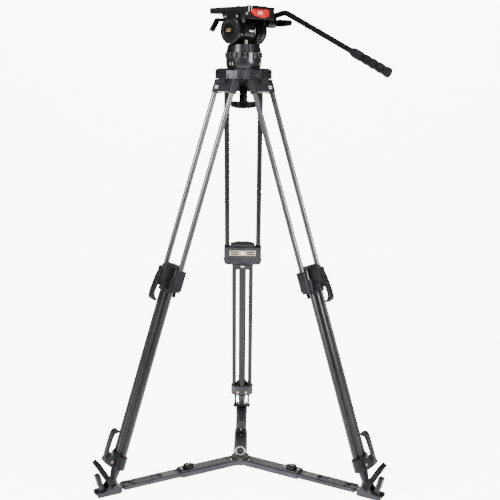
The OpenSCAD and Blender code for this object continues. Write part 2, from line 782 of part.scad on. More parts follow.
// Bail that folds over the foot: two arms from the foot bolt and a slotted grip
module foot_strap(k) {
    lean = 31;
    bend_at = 34;
    arm_length = 86;
    color("black") radial(k) translate([foot_r, 0, foot_z]) rotate([0, lean, 0]) difference() {
        union() {
            for (side = [-1, 1]) {
                translate([0, side * 22.7, 0]) bar_y_way(8, -3.3, 3.3);
                slab_x(-7, 7) polygon([
                    [side * 19.4, 0], [side * 26, 0], [side * 26, bend_at], [side * 19, bend_at + 14],
                    [side * 19, arm_length - 5], [side * 12, arm_length - 5], [side * 12, bend_at + 10],
                    [side * 19.4, bend_at - 2]
                ]);
            }
            block([-7, -19, arm_length - 10], [7, 19, arm_length]);
            block([-5, -13, bend_at + 10], [5, 13, bend_at + 17]);
        }
        bar_y_way(4 + run_gap, -40, 40);
    }
}

// Cross-section of an inner arm, with its upper edges cut back
function arm_section(half, low, high, cut) = [
    [-half, low], [half, low], [half, high - cut], [half - cut, high], [-half + cut, high], [-half, high - cut]
];

// Hub with its pad, and the three inner arms that the outer arms slide in
module spreader_hub() {
    hub_r = 27;
    color("dimgray") {
        difference() {
            translate([0, 0, pad_thick]) cylinder(r = hub_r, h = arm_high + 2 - pad_thick);
            block([-9, -6.5, arm_high - 0.5], [9, 2.5, arm_high + 3]);
        }
        cylinder(r = hub_r - 7, h = pad_thick + 1);
        for (k = [1 : 3]) radial(k) difference() {
            union() {
                slab_x(12, inner_arm_end) polygon(arm_section(arm_width / 2, arm_low, arm_high - 0.5, 3));
                // Raised clamp plate round the knob
                block([knob_r - 28, -18, arm_high - 1], [knob_r + 28, 18, arm_high + 2]);
            }
            block([46, -cavity_half, outer_low - slide_gap], [inner_arm_end + 1, cavity_half, outer_high + slide_gap]);
            translate([knob_r, 0, 10]) cylinder(r = 4 + run_gap, h = 30);
            translate([knob_r, 0, arm_high + 0.5]) cylinder(r = 16.3, h = 4);
        }
    }
}

// Steel ring that the spreader is lifted by
module hub_ring() {
    wire = 1.6;
    color("silver") translate([0, -2, arm_high + 2 + ring_d / 2 - 1]) rotate([90, 0, 0])
        rotate_extrude() translate([ring_d / 2 - wire, 0]) circle(r = wire, $fn = 24);
}

// Outer arm: a bar with a square window and two fingers that reach beside the shoe's tongue
module arm_outer(k) {
    color("dimgray") radial(k) {
        difference() {
            slab_x(outer_start, finger_end) polygon(arm_section(outer_half, outer_low, outer_high, 2));
            block([outer_end + 3, -9.6, 0], [finger_end + 1, 9.6, 30]);
            block([264, -12, 0], [290, 12, 30]);
            block([outer_end - 2, -20, 17], [outer_end + 1.5, 20, 30]);
        }
        // Screw heads at the hinge, which stands open
        for (side = [-1, 1]) translate([foot_r - 40, 0, 14])
            bar_y_way(4, side < 0 ? -outer_half - 1.5 : outer_half, side < 0 ? -outer_half : outer_half + 1.5);
    }
}

// Knob that clamps an outer arm
module arm_knob(k) {
    color("black") radial(k) translate([knob_r, 0, arm_high + 0.8]) {
        linear_extrude(10) polygon(lug_outline(13, 15.5, 7, 0.6));
        translate([0, 0, -2]) cylinder(r = 4, h = 3);
    }
}

crown();
half_ball();
tie_down_knob();
pan_drag_ring();
pan_base();
bubble_level();
pan_lock_lever();
tilt_housing();
tilt_shaft();
counterbalance_dial();
tilt_drag_ring();
tilt_frame();
side_covers();
tilt_lock_lever();
camera_plate();
camera_screws();
plate_lock_lever();
plate_release_button();
pan_bar_clamp();
pan_bar_wing();
pan_bar();
pan_bar_grip();
for (k = [1 : 3]) {
    leg_shoulder(k);
    upper_tubes(k);
    upper_clamp(k);
    upper_lever(k);
    mid_tubes(k);
    lower_clamp(k);
    lower_lever(k);
    lower_leg(k);
    shoe(k);
    foot_strap(k);
    arm_outer(k);
    arm_knob(k);
}
spreader_hub();
hub_ring();
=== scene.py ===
"""Looks of the twin-tube tripod with a fluid head: materials, small fittings, studio and camera."""
import json
import math

import bmesh
import bpy
from mathutils import Matrix, Vector


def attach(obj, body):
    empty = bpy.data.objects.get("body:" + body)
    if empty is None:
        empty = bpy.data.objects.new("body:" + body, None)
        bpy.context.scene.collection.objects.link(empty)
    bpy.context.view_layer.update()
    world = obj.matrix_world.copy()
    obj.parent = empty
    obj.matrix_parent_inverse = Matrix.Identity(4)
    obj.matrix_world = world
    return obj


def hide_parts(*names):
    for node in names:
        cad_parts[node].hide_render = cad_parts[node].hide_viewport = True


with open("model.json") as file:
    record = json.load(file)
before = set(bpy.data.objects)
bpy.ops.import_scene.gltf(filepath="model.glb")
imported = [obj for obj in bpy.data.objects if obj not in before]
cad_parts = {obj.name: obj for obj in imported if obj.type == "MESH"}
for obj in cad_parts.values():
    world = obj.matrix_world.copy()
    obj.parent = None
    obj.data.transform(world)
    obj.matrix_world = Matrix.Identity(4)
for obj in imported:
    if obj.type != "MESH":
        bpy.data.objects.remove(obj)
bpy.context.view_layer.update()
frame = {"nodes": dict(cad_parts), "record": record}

MM = 0.001
# Legs: the turn of each about Z in degrees, their lean from upright, and a hinge's place before the turn
LEG_TURN = {1: 210, 2: 330, 3: 90}
LEG_TILT = math.radians(17.9)
LEG_TOP = Vector((53.5, 0, 1156)) * MM
# Height of the tilt axis
TILT_Z = 1288
# Distance of the middle tubes from a leg's middle plane
MID_TUBE_Y = 27
# On a leg, in its own frame: the upper clamp's inner face, its side screws, and the seals and collars
CLAMP_FACE_X = -14
CLAMP_SCREW_Y = 59
SEAL_Z = -612.9
COLLAR_Z = -1097.1
# Distance of the arm knobs from the tripod's axis
KNOB_R = 177
# Heights that fittings start from: on the outer arm, the hub, the plate under a knob, and the knob
ARM_SEAT = 20.2
HUB_SEAT = 22.4
KNOB_PLATE_SEAT = 24.9
KNOB_SEAT = 34.5
# Outer face of the side covers, and left and rear faces of the platform
COVER_X = 59
PLATFORM_LEFT = -48
PLATFORM_REAR = -70
# Underside of the strips on the camera plate
STRIP_Z = 1352.9
# Pan bar: its start, its climb and bend in degrees, the bend's radius, and the lengths on both sides
BAR_START = (71.3, -30, 1326)
BAR_RISE = 12
BAR_BEND = 36.4
BEND_R = 40
BAR_FIRST = 48
BAR_SECOND = 379


# ---------- frames ----------

def turn(axis, degrees):
    return Matrix.Rotation(math.radians(degrees), 4, axis)


def shift(x, y, z):
    """A move in millimetres."""
    return Matrix.Translation(Vector((x, y, z)) * MM)


def radial(k):
    """Frame whose X points outwards along a leg's arm."""
    return turn("Z", LEG_TURN[k])


def on_leg(k):
    """Frame of a leg: its origin at the hinge, its Z up along the tubes."""
    return radial(k) @ Matrix.Translation(LEG_TOP) @ Matrix.Rotation(-LEG_TILT, 4, "Y")


HEAD = turn("Z", 46)
TILT = HEAD @ shift(0, 0, TILT_Z)


# ---------- material building blocks ----------

class Graph:
    """A small wrapper that adds and links a material's nodes."""

    def __init__(self, name):
        self.mat = bpy.data.materials.new(name)
        self.mat.use_nodes = True
        self.tree = self.mat.node_tree
        self.tree.nodes.clear()
        self.out = self.tree.nodes.new("ShaderNodeOutputMaterial")
        self.shader = self.tree.nodes.new("ShaderNodeBsdfPrincipled")
        self.tree.links.new(self.shader.outputs[0], self.out.inputs["Surface"])
        self.coord = self.tree.nodes.new("ShaderNodeTexCoord").outputs["Object"]

    def add(self, kind, **values):
        node = self.tree.nodes.new(kind)
        for key, value in values.items():
            setattr(node, key, value)
        return node

    def put(self, socket, value):
        if isinstance(value, bpy.types.NodeSocket):
            self.tree.links.new(value, socket)
        elif isinstance(value, (tuple, list)) and len(value) == 3 and socket.type == "RGBA":
            socket.default_value = (*value, 1)
        else:
            socket.default_value = value

    def mapped(self, scale=(1, 1, 1), matrix=None):
        """Object coordinates, first turned into a local frame, then scaled."""
        source = self.coord
        if matrix is not None:
            inverse = matrix.inverted()
            move = self.add("ShaderNodeMapping", vector_type="POINT")
            move.inputs["Location"].default_value = inverse.to_translation()
            move.inputs["Rotation"].default_value = inverse.to_euler("XYZ")
            self.put(move.inputs["Vector"], source)
            source = move.outputs[0]
        stretch = self.add("ShaderNodeMapping", vector_type="POINT")
        stretch.inputs["Scale"].default_value = scale
        self.put(stretch.inputs["Vector"], source)
        return stretch.outputs[0]

    def noise(self, scale, detail=3.0, rough=0.55, vector=None, distortion=0.0):
        node = self.add("ShaderNodeTexNoise")
        self.put(node.inputs["Vector"], vector or self.coord)
        node.inputs["Scale"].default_value = scale
        node.inputs["Detail"].default_value = detail
        node.inputs["Roughness"].default_value = rough
        node.inputs["Distortion"].default_value = distortion
        return node.outputs["Fac"]

    def math(self, kind, a, b=0.0):
        node = self.add("ShaderNodeMath", operation=kind)
        self.put(node.inputs[0], a)
        if kind not in ("SINE", "ABSOLUTE", "SQRT"):
            self.put(node.inputs[1], b)
        return node.outputs[0]

    def ramp(self, value, low, high, to_low=0.0, to_high=1.0):
        node = self.add("ShaderNodeMapRange", clamp=True)
        self.put(node.inputs["Value"], value)
        limits = {"From Min": low, "From Max": high, "To Min": to_low, "To Max": to_high}
        for name, number in limits.items():
            self.put(node.inputs[name], number)
        return node.outputs[0]

    def mix(self, factor, a, b):
        node = self.add("ShaderNodeMix", data_type="RGBA")
        self.put(node.inputs[0], factor)
        self.put(node.inputs[6], a)
        self.put(node.inputs[7], b)
        return node.outputs[2]

    def bump(self, height, strength, distance, normal=None):
        node = self.add("ShaderNodeBump")
        node.inputs["Strength"].default_value = strength
        node.inputs["Distance"].default_value = distance
        self.put(node.inputs["Height"], height)
        if normal is not None:
            self.put(node.inputs["Normal"], normal)
        return node.outputs[0]

    def edges(self, radius):
        """Rounded normal, and a mask that is 1 on the edges, used for worn edges and for painted highlight
        on edges.
        """
        bevel = self.add("ShaderNodeBevel", samples=4)
        bevel.inputs["Radius"].default_value = radius
        plain = self.add("ShaderNodeNewGeometry").outputs["Normal"]
        dot = self.add("ShaderNodeVectorMath", operation="DOT_PRODUCT")
        self.put(dot.inputs[0], bevel.outputs[0])
        self.put(dot.inputs[1], plain)
        return bevel.outputs[0], self.ramp(dot.outputs["Value"], 0.985, 0.8)

    def finish(self, color, rough, metal=0.0, normal=None, **extra):
        self.put(self.shader.inputs["Base Color"], color)
        self.put(self.shader.inputs["Roughness"], rough)
        self.put(self.shader.inputs["Metallic"], metal)
        if normal is not None:
            self.put(self.shader.inputs["Normal"], normal)
        for name, value in extra.items():
            self.put(self.shader.inputs[name.replace("_", " ")], value)
        return self.mat


# Tint of a dark metallic finish towards its rim, so that the rim stays dark
EDGE_TINT = (0.08, 0.08, 0.08)
# Repeat of the carbon fibre's weave, in metres
WEAVE_PITCH = 0.0034


def coated(name, dark, light, rough, metal=0.0, grain=900, depth=0.00006, strength=0.35,
           wear=(0.3, 0.3, 0.31), wear_amount=0.5, radius=0.0007, coat=0.0, shine_level=0.08):
    """Painted or moulded surface: cloudy colour, fine grain, rounded edges and worn, lighter corners."""
    g = Graph(name)
    cloud = g.noise(18, 4)
    fine = g.noise(grain, 2, 0.6)
    smear = g.noise(55, 5, 0.65, distortion=0.6)
    rounded, edge = g.edges(radius)
    wear_and_painted_highlight = g.math("MULTIPLY", edge, g.ramp(g.noise(140, 4), 0.42, 0.62))
    wear_and_painted_highlight = g.math("MULTIPLY", wear_and_painted_highlight, wear_amount)
    color = g.mix(g.ramp(cloud, 0.35, 0.7), dark, light)
    color = g.mix(wear_and_painted_highlight, color, wear)
    uneven = g.ramp(smear, 0.3, 0.75, rough - 0.07, rough + 0.1)
    shine = g.math("ADD", uneven, g.math("MULTIPLY", wear_and_painted_highlight, -0.12))
    normal = g.bump(fine, strength, depth, rounded)
    return g.finish(color, shine, metal, normal, Coat_Weight=coat, Coat_Roughness=0.25,
                    Specular_IOR_Level=shine_level, Specular_Tint=EDGE_TINT if metal else (1, 1, 1))


def brushed(name, color, along=(60, 60, 2200), rough=0.3):
    """Bare metal with fine lines, and cloudy where it has been touched."""
    g = Graph(name)
    lines = g.noise(1, 3, 0.6, g.mapped(along))
    cloud = g.noise(30, 3)
    rounded, _ = g.edges(0.0005)
    darker, stained = [tuple(c * part for c in color) for part in (0.75, 0.55)]
    shade = g.mix(g.ramp(lines, 0.3, 0.7), darker, color)
    shade = g.mix(g.math("MULTIPLY", g.ramp(cloud, 0.5, 0.7), 0.25), shade, stained)
    normal = g.bump(lines, 0.25, 0.00003, rounded)
    shine = g.ramp(lines, 0.25, 0.75, rough - 0.08, rough + 0.12)
    return g.finish(shade, shine, 1.0, normal, Anisotropic=0.35)


def carbon(name, matrix, light_and_shade_scale):
    """Twill: fine bands of fibre that cross at a slant, along a leg's own frame; light_and_shade_scale
    scales its colour, painting light and shade for each leg and tube.
    """
    g = Graph(name)
    local = g.mapped(matrix=matrix)
    parts = g.add("ShaderNodeSeparateXYZ")
    g.put(parts.inputs[0], local)
    around = g.math("SUBTRACT", parts.outputs["Y"], g.math("MULTIPLY", parts.outputs["X"], 0.7))
    slanted = g.math("MULTIPLY", around, 2.2)
    up = parts.outputs["Z"]
    turns = 2 * math.pi / WEAVE_PITCH
    warp = g.math("SINE", g.math("MULTIPLY", g.math("ADD", up, slanted), turns))
    weft = g.math("SINE", g.math("MULTIPLY", g.math("SUBTRACT", up, slanted), turns))
    over = g.ramp(g.math("SUBTRACT", warp, g.math("MULTIPLY", weft, 0.55)), -1.0, 1.0)
    thread = g.noise(1, 2, 0.5, g.mapped((3000, 3000, 300), matrix))
    cloud = g.noise(9, 3, 0.6)
    # Colours scaled by painted light and shade: darker where the leg is in shade, lighter where the tubes
    # are lit
    low, high, gap, stain = [tuple(c * light_and_shade_scale for c in shade) for shade in (
        (0.068, 0.068, 0.07), (0.092, 0.092, 0.095), (0.05, 0.05, 0.051), (0.025, 0.025, 0.026))]
    color = g.mix(over, low, high)
    color = g.mix(g.ramp(thread, 0.45, 0.75, 0, 0.25), color, gap)
    color = g.mix(g.ramp(cloud, 0.4, 0.7, 0, 0.3), color, stain)
    smear = g.noise(40, 4, 0.6)
    normal = g.bump(g.math("ADD", over, g.math("MULTIPLY", thread, 0.3)), 0.04, 0.00002)
    return g.finish(color, g.ramp(smear, 0.3, 0.8, 0.27, 0.34), 0.9, normal, Specular_Tint=EDGE_TINT)


def rubber(name, dark, light, rough):
    """Porous matt surface, dusty on its edges."""
    g = Graph(name)
    pores = g.add("ShaderNodeTexVoronoi", feature="F1")
    g.put(pores.inputs["Vector"], g.coord)
    pores.inputs["Scale"].default_value = 1100
    cloud = g.noise(35, 4)
    dust = g.noise(260, 5, 0.7)
    rounded, edge = g.edges(0.0009)
    color = g.mix(g.ramp(cloud, 0.35, 0.7), dark, light)
    color = g.mix(g.math("MULTIPLY", edge, g.ramp(dust, 0.45, 0.6, 0, 0.5)), color, (0.16, 0.16, 0.165))
    normal = g.bump(pores.outputs["Distance"], 0.3, 0.00012, rounded)
    shine = g.ramp(dust, 0.3, 0.7, rough - 0.08, rough + 0.1)
    return g.finish(color, shine, 0.5, normal, Specular_IOR_Level=0.1, Specular_Tint=EDGE_TINT)


def ridged(name, matrix, axis, valley, crest):
    """Black ring with a painted highlight on its lugs and dark gaps between them as painted shade; radii in
    millimetres.
    """
    g = Graph(name)
    parts = g.add("ShaderNodeSeparateXYZ")
    g.put(parts.inputs[0], g.mapped(matrix=matrix))
    first, second = [parts.outputs[n] for n in "XYZ" if n != axis]
    squares = [g.math("MULTIPLY", side, side) for side in (first, second)]
    radius = g.math("SQRT", g.math("ADD", *squares))
    # Painted highlight: lighter towards the lugs' crests, with the gaps left dark as painted shade
    top = g.ramp(radius, valley * MM, crest * MM)
    wear_and_painted_highlight = g.math("MULTIPLY", top, g.ramp(g.noise(160, 4), 0.35, 0.6, 0.45, 1.0))
    rounded, edge = g.edges(0.0009)
    color = g.mix(g.ramp(g.noise(40, 3), 0.35, 0.7), (0.01, 0.01, 0.011), (0.018, 0.018, 0.02))
    # Painted highlight on the crests, uneven along the ring
    color = g.mix(wear_and_painted_highlight, color, (0.11, 0.11, 0.115))
    # Brighter still on the crests' edges: painted highlight
    color = g.mix(g.math("MULTIPLY", edge, wear_and_painted_highlight), color, (0.26, 0.26, 0.27))
    normal = g.bump(g.noise(1300, 2), 0.25, 0.00004, rounded)
    return g.finish(color, 0.33, 0.85, normal, Specular_Tint=EDGE_TINT)


BLACK_CAST = coated("cast_black", (0.022, 0.022, 0.024), (0.034, 0.034, 0.037), 0.36, 0.35,
                    1100, 0.00003, 0.25, wear_amount=0.25)
CROWN_BLACK = coated("crown_black", (0.058, 0.058, 0.062), (0.066, 0.066, 0.071), 0.24, 0.85,
                     1100, 0.00001, 0.1, wear_amount=0.25)
HEAD_BLACK = coated("head_black", (0.024, 0.024, 0.026), (0.038, 0.038, 0.041), 0.33, 0.85,
                    1500, 0.00004, 0.3, wear_amount=0.3)
LEVER_GREY = coated("lever_grey", (0.022, 0.022, 0.024), (0.034, 0.034, 0.036), 0.4, 0.6,
                    1300, 0.00004, 0.3, wear_amount=0.3)
DARK_STEEL = brushed("dark_steel", (0.2, 0.2, 0.205), rough=0.36)
RING_STEEL = brushed("ring_steel", (0.42, 0.42, 0.43))
SPREADER_BLACK = coated("spreader_black", (0.018, 0.018, 0.02), (0.03, 0.03, 0.033), 0.36, 0.35,
                        900, 0.00004, 0.3, wear_amount=0.3)
BAR_BLACK = coated("anodised_black", (0.02, 0.02, 0.021), (0.03, 0.03, 0.031), 0.26, 0.95,
                   1800, 0.00002, 0.2, wear_amount=0.2)
BLACK_PLASTIC = coated("black_plastic", (0.008, 0.008, 0.0088), (0.016, 0.016, 0.017), 0.4, 0.7,
                       1600, 0.00005, 0.3, wear=(0.1, 0.1, 0.105), wear_amount=0.3)
PAN_RING = ridged("pan_ring_black", Matrix.Identity(4), "Z", 50.6, 52.4)
DIAL_RING = ridged("dial_ring_black", TILT, "X", 40.0, 43.0)
RED_PLASTIC = coated("red_plastic", (0.42, 0.004, 0.006), (0.55, 0.007, 0.01), 0.3, 0.0,
                     1300, 0.00002, 0.15, wear=(0.7, 0.16, 0.17), wear_amount=0.4, shine_level=0.4)
GRIP_RUBBER = rubber("grip_rubber", (0.008, 0.008, 0.0088), (0.017, 0.017, 0.0185), 0.5)
STRAP_RUBBER = rubber("strap_rubber", (0.008, 0.008, 0.0085), (0.018, 0.018, 0.019), 0.55)
PAD_RUBBER = rubber("pad_rubber", (0.012, 0.012, 0.012), (0.026, 0.026, 0.027), 0.8)
STEEL = brushed("steel", (0.72, 0.72, 0.73))
BRASS = brushed("brass", (0.72, 0.52, 0.24), rough=0.34)
CHAMPAGNE = brushed("champagne", (0.3, 0.26, 0.2), (500, 500, 500), 0.42)
TICK_GREY = coated("tick_grey", (0.05, 0.05, 0.05), (0.08, 0.08, 0.08), 0.5, 0.0, 1200, wear_amount=0.2)
WHITE = coated("white_paint", (0.72, 0.72, 0.7), (0.84, 0.84, 0.82), 0.5, 0.0, 1200,
               wear=(0.45, 0.45, 0.44), wear_amount=0.4)
GREY_PLATE = coated("grey_plate", (0.016, 0.016, 0.017), (0.03, 0.03, 0.032), 0.42, 0.0, 1200,
                    wear_amount=0.7)
LIQUID = coated("level_liquid", (0.16, 0.2, 0.05), (0.22, 0.27, 0.08), 0.12, 0.0, 300, 0.00002, 0.1,
                wear_amount=0.0, coat=1.0)
# Painted light and shade in the carbon's colour: the rear leg, 3, is painted darker than the front ones, as
# shade, and the upper tubes painted lighter than the lower ones, as lit
LOWER_PAINTED_SHADE = {1: 1.0, 2: 1.0, 3: 0.2}
UPPER_PAINTED_LIGHT_AND_SHADE = {1: 1.6, 2: 1.6, 3: 0.25}
CARBON = {k: carbon(f"carbon_{k}", on_leg(k), LOWER_PAINTED_SHADE[k]) for k in LEG_TURN}
UPPER_CARBON_PAINTED_LIGHT_AND_SHADE = {k: carbon(f"upper_carbon_painted_light_and_shade_{k}", on_leg(k), UPPER_PAINTED_LIGHT_AND_SHADE[k]) for k in LEG_TURN}

SLOT_MATERIAL = {
    "cast_black": BLACK_CAST, "head_black": HEAD_BLACK, "spreader_black": SPREADER_BLACK,
    "anodised_black": BAR_BLACK, "black_plastic": BLACK_PLASTIC, "red_plastic": RED_PLASTIC,
    "grip_rubber": GRIP_RUBBER, "strap_rubber": STRAP_RUBBER, "steel": STEEL,
}
NODE_MATERIAL = {
    "crown": CROWN_BLACK, "half_ball": CROWN_BLACK, "pan_drag_ring": PAN_RING,
    "counterbalance_dial": DIAL_RING, "tilt_drag_ring": DIAL_RING,
    "bubble_level": DARK_STEEL, "hub_ring": RING_STEEL,
    **{f"upper_tubes_{k}": UPPER_CARBON_PAINTED_LIGHT_AND_SHADE[k] for k in LEG_TURN},
    **{f"{kind}_lever_{k}": LEVER_GREY for kind in ("upper", "lower") for k in LEG_TURN},
}
SLOT_OF = {part["node"]: part["material_slot"] for part in frame["record"]["subparts"]}
for node_name, node_object in frame["nodes"].items():
    slot_name = SLOT_OF[node_name]
    chosen = CARBON[int(node_name[-1])] if slot_name == "carbon" else SLOT_MATERIAL[slot_name]
    chosen = NODE_MATERIAL.get(node_name, chosen)
    node_object.data.materials.clear()
    node_object.data.materials.append(chosen)
# The yoke and the foot are castings that share a node with carbon tubes; heights along the leg, in metres
YOKE_BOTTOM = -0.5475
FOOT_TOP = -1.1357
for k in LEG_TURN:
    inverse = on_leg(k).inverted()
    castings = {f"mid_tubes_{k}": lambda z: z > YOKE_BOTTOM, f"lower_leg_{k}": lambda z: z < FOOT_TOP}
    for node_name, is_casting in castings.items():
        mesh = frame["nodes"][node_name].data
        mesh.materials.append(BLACK_CAST)
        heights = [(inverse @ v.co).z for v in mesh.vertices]
        for polygon in mesh.polygons:
            if all(is_casting(heights[i]) for i in polygon.vertices):
                polygon.material_index = 1


# ---------- small fittings ----------

def piece(name, mesh_maker, matrix, body, material, bevel=0.0, smooth=False):
    """Makes one fitting in its local frame, in millimetres, and hangs it on a body."""
    mesh = bpy.data.meshes.new(name)
    work = bmesh.new()
    mesh_maker(work)
    bmesh.ops.scale(work, vec=(MM, MM, MM), verts=work.verts)
    if bevel:
        bmesh.ops.bevel(work, geom=list(work.edges), offset=bevel * MM, segments=2,
                        affect="EDGES", profile=0.5)
    bmesh.ops.transform(work, matrix=matrix, verts=work.verts)
    bmesh.ops.recalc_face_normals(work, faces=work.faces)
    if smooth:
        for face in work.faces:
            face.smooth = True
    work.to_mesh(mesh)
    work.free()
    obj = bpy.data.objects.new(name, mesh)
    bpy.context.scene.collection.objects.link(obj)
    obj.data.materials.append(material)
    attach(obj, body)
    return obj


def box(low, high):
    """Box from one corner to the opposite one."""
    def make(work):
        made = bmesh.ops.create_cube(work, size=1)["verts"]
        for v in made:
            v.co = Vector([(low[i] + high[i]) / 2 + v.co[i] * (high[i] - low[i]) for i in range(3)])
    return make


def prism(points, z0, z1):
    """Outline in X and Y pushed up from z0 to z1."""
    def make(work):
        face = work.faces.new([work.verts.new((x, y, z0)) for x, y in points])
        moved = bmesh.ops.extrude_face_region(work, geom=[face])["geom"]
        top = [item for item in moved if isinstance(item, bmesh.types.BMVert)]
        bmesh.ops.translate(work, vec=(0, 0, z1 - z0), verts=top)
    return make


def lathe(profile, steps=48):
    """Profile of (radius, height) pairs turned about Z."""
    def make(work):
        rings = []
        for r, z in profile:
            if r < 1e-6:
                rings.append([work.verts.new((0, 0, z))])
            else:
                rings.append([work.verts.new((r * math.cos(t), r * math.sin(t), z))
                              for t in [2 * math.pi * i / steps for i in range(steps)]])
        for a, b in zip(rings, rings[1:]):
            for i in range(steps):
                j = (i + 1) % steps
                if len(a) == 1 and len(b) > 1:
                    work.faces.new((a[0], b[i], b[j]))
                elif len(b) == 1 and len(a) > 1:
                    work.faces.new((a[i], a[j], b[0]))
                elif len(a) > 1:
                    work.faces.new((a[i], a[j], b[j], b[i]))
    return make


def many(makers):
    """Several shapes in one mesh."""
    def make(work):
        for maker in makers:
            maker(work)
    return make


def screw_head(r, h):
    """Cap screw with a socket in its top."""
    floor = h * 0.35
    return lathe([(r, 0), (r, h * 0.8), (r * 0.86, h), (r * 0.5, h), (r * 0.46, floor), (0, floor)], 24)


def facing(matrix, direction):
    """The frame with its Z turned to a local direction."""
    return matrix @ Vector((0, 0, 1)).rotation_difference(Vector(direction)).to_matrix().to_4x4()


def head_box(name, low, high, body, material, bevel=0.0):
    """Box in the head's frame."""
    return piece(name, box(low, high), HEAD, body, material, bevel)


SIDES = ((-1, "a"), (1, "b"))


def leg_fittings(k):
    """Badge, guard, screws, seals and collars of a leg's two clamps, and the shoulder's bars."""
    place, leg, mid = on_leg(k), f"leg_{k}", f"mid_{k}"
    inwards = (-1, 0, 0)
    # Badge with dark slots and a white mark on the inner face of the upper clamp
    piece(f"clamp_badge_{k}", box((CLAMP_FACE_X - 0.7, -42, -576), (CLAMP_FACE_X, 42, -557)), place, leg,
          CHAMPAGNE, 0.25)
    slots = [box((CLAMP_FACE_X - 1.0, side * 25 - 12, z), (CLAMP_FACE_X - 0.6, side * 25 + 12, z + 3.6))
             for side, _ in SIDES for z in (-572.2, -564.6)]
    piece(f"clamp_slots_{k}", many(slots), place, leg, BLACK_PLASTIC)
    piece(f"clamp_mark_{k}", lathe([(5.2, 0), (5.2, 0.7), (3.4, 1.1), (0, 1.1)], 6),
          facing(place @ shift(CLAMP_FACE_X - 0.5, 0, -566.5), inwards), leg, WHITE)
    # Guard plate that hangs from the clamp in front of the tubes, and its white line
    piece(f"clamp_guard_{k}", box((-15.4, -31, -627), (-12.6, 31, -609)), place, leg,
          BLACK_CAST, 0.4)
    piece(f"clamp_line_{k}", box((-15.9, -5.5, -617.5), (-15.0, 5.5, -613.5)), place, leg,
          WHITE, 0.1)
    # Two plain bars on one side of the shoulder, mirrored on leg 2
    mark = 32 if k == 2 else -32
    stripes = [box((8, mark - 9, z), (8.3, mark + 9, z + 3.4)) for z in (-30, -24.6)]
    piece(f"shoulder_mark_{k}", many(stripes), place, leg, WHITE)
    for side, tag in SIDES:
        out = (0, side, 0)
        piece(f"clamp_side_screw_{k}_{tag}", screw_head(4.0, 2.2),
              facing(place @ shift(0, side * CLAMP_SCREW_Y, -597), out), leg, BLACK_CAST)
        piece(f"low_clamp_screw_{k}_{tag}", screw_head(3.4, 2.0),
              facing(place @ shift(-12.9, side * 14, -1120), inwards), mid, BRASS)
        piece(f"low_lever_screw_{k}_{tag}", screw_head(4.6, 2.0),
              facing(place @ shift(24, side * 13.9, -1118), out), mid, CHAMPAGNE)
        # Seal rings where the middle tubes leave the upper clamp, and collars at the lower clamp
        piece(f"tube_seal_{k}_{tag}", lathe([(7.6, 0), (10, 0), (10, 4), (7.6, 4)]),
              place @ shift(0, side * MID_TUBE_Y, SEAL_Z), leg, PAD_RUBBER)
        piece(f"low_collar_{k}_{tag}", lathe([(7.1, 0), (9.4, 0), (9.0, 4), (7.1, 4.4)]),
              place @ shift(0, side * MID_TUBE_Y, COLLAR_Z), mid, BLACK_PLASTIC)


def spreader_fittings(k):
    """Panel, stop line and screws of one arm, and what is on its knob."""
    place, arm, arm_knob = radial(k), f"arm_{k}", f"arm_knob_{k}"
    at_knob = place @ shift(KNOB_R, 0, 0)
    # Panel let into the outer arm, and a stop line beyond it
    piece(f"arm_panel_{k}", box((222, -15.5, ARM_SEAT), (262, 15.5, ARM_SEAT + 0.42)), place, arm,
          GREY_PLATE)
    piece(f"arm_stop_{k}", box((292, -15.8, ARM_SEAT), (294, 15.8, ARM_SEAT + 0.4)), place, arm,
          PAD_RUBBER)
    piece(f"knob_mark_{k}", box((-6.5, -1.0, KNOB_SEAT), (6.5, 1.0, KNOB_SEAT + 0.35)), at_knob, arm_knob,
          WHITE)
    cap = [(9.0, -1.0), (9.0, -0.4), (7.4, 0.1), (0, 0.2)]
    piece(f"knob_cap_{k}", lathe(cap), at_knob @ shift(0, 0, KNOB_SEAT), arm_knob,
          BLACK_PLASTIC, smooth=True)
    for side, tag in SIDES:
        piece(f"hub_screw_{k}_{tag}", screw_head(2.6, 1.6), place @ shift(38, side * 13, HUB_SEAT),
              "spreader", STEEL)
        piece(f"knob_plate_screw_{k}_{tag}", screw_head(2.4, 1.4),
              at_knob @ shift(side * 22, 0, KNOB_PLATE_SEAT), "spreader", STEEL)


def platform_fittings():
    """Scale on the left edge of the platform, and two index marks at its rear."""
    left, rear = PLATFORM_LEFT, PLATFORM_REAR
    ticks = [box((left - 0.25, y, 1343 if i % 4 == 0 else 1345.5), (left, y + 0.7, 1349))
             for i, y in enumerate(range(20, 80, 5))]
    piece("platform_scale", many(ticks), HEAD, "tilt", TICK_GREY)
    head_box("index_mark_a", (left - 0.3, -67, 1336), (left, -64.6, 1350), "tilt", WHITE)
    head_box("index_mark_b", (-44, rear - 0.3, 1336), (-41.4, rear, 1350), "tilt", WHITE)


def drum_marks():
    """Marks on the tilt housing's drum and on the counterbalance dial."""
    head_box("drum_mark", (15, -28.9, 1281), (16.4, -26.0, 1294), "pan", WHITE)
    head_box("drum_label", (-7, -28.7, 1285), (11, -26.5, 1289.6), "pan", WHITE)
    piece("dial_figures", box((-41.4, -1, 33.4), (-37, 1, 33.9)), TILT @ turn("X", 110), "counterbalance",
          WHITE)


